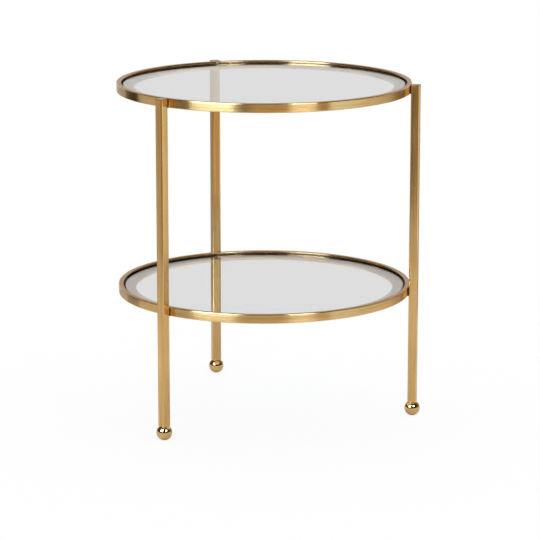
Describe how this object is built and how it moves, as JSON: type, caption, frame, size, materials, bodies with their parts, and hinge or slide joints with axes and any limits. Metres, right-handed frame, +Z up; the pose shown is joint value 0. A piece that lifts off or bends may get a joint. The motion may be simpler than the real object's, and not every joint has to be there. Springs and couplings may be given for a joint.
{
  "type": "tiered side table",
  "caption": "Tiered round side table: brushed brass-finish ring frames hold loose clear glass discs, and slim square legs stand outside the rings on polished ball feet.",
  "frame": {"origin": "on the floor at the middle of the table's outline; the rings' axis stands 10.65 mm in front of it (towards -Y), because the back leg reaches past the rings", "axes": "+Z up; +Y towards the back leg, with the left and right legs 60 degrees either side of -Y; +X to the right"},
  "size_m": [0.49, 0.5112, 0.563],
  "materials": {
    "brushed_brass": "steel with a brushed brass plating under clear lacquer",
    "polished_brass": "mirror polished",
    "clear_glass": "clear toughened glass with a polished edge",
    "clear_bumper": "clear soft bumper",
    "zinc_steel": "zinc plated",
    "dark_spacer": "matte dark gasket"
  },
  "bodies": {
    "frame": {"upper_ring": "brushed_brass", "upper_ledge": "brushed_brass", "upper_glass_pads": "clear_bumper", "upper_joint_bushes": "zinc_steel", "upper_joint_screws": "zinc_steel", "upper_joint_inserts": "zinc_steel", "upper_joint_spacers": "dark_spacer", "lower_ring": "brushed_brass", "lower_ledge": "brushed_brass", "lower_glass_pads": "clear_bumper", "lower_joint_bushes": "zinc_steel", "lower_joint_screws": "zinc_steel", "lower_joint_inserts": "zinc_steel", "lower_joint_spacers": "dark_spacer", "right_leg": "brushed_brass", "right_leg_cap": "brushed_brass", "right_foot_plug": "zinc_steel", "right_foot_stud": "zinc_steel", "right_foot_ball": "polished_brass", "back_leg": "brushed_brass", "back_leg_cap": "brushed_brass", "back_foot_plug": "zinc_steel", "back_foot_stud": "zinc_steel", "back_foot_ball": "polished_brass", "left_leg": "brushed_brass", "left_leg_cap": "brushed_brass", "left_foot_plug": "zinc_steel", "left_foot_stud": "zinc_steel", "left_foot_ball": "polished_brass"},
    "top_glass": {"upper_glass": "clear_glass"},
    "shelf_glass": {"lower_glass": "clear_glass"}
  },
  "joints": [
    {"name": "top_glass_lift", "type": "slide", "parent": "frame", "child": "top_glass", "axis": [0, 0, 1], "range_m": [0, 0.1]},
    {"name": "shelf_glass_lift", "type": "slide", "parent": "frame", "child": "shelf_glass", "axis": [0, 0, 1], "range_m": [0, 0.3]}
  ]
}
